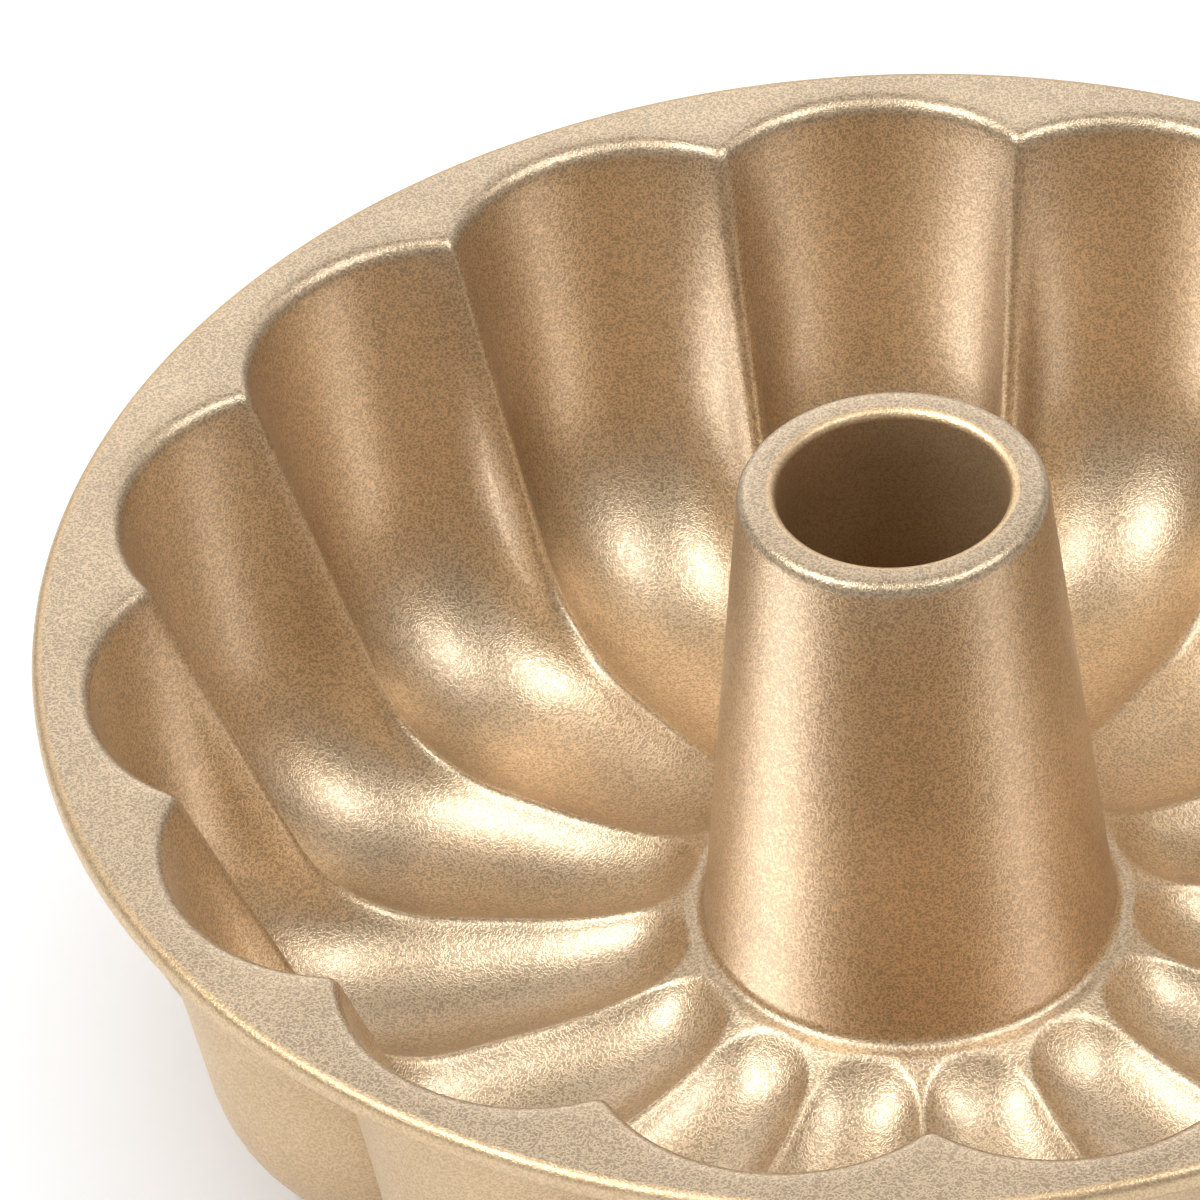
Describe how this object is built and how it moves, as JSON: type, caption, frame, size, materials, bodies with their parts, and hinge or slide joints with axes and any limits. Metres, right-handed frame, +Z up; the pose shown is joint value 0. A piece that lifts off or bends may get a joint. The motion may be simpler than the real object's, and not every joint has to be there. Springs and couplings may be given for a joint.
{
  "type": "ring cake pan",
  "caption": "Deep fluted ring cake pan with a flat scalloped rim and a tapered open tube in the middle, coated on both sides, for baking and turning out ring cakes.",
  "frame": {"origin": "on the tube's axis, on the surface that the pan stands on", "axes": "+Z up along the tube; a flute lies on +Y and a rib on -Y"},
  "size_m": [0.254, 0.254, 0.0958],
  "materials": {
    "cast_metal": "as cast",
    "lining": "champagne gold non-stick coat with a fine wrinkled texture",
    "outer_coat": "champagne gold satin coat, nearly smooth"
  },
  "bodies": {
    "root": {"pan_casting": "cast_metal", "nonstick_lining": "lining", "outer_coating": "outer_coat"}
  },
  "joints": []
}
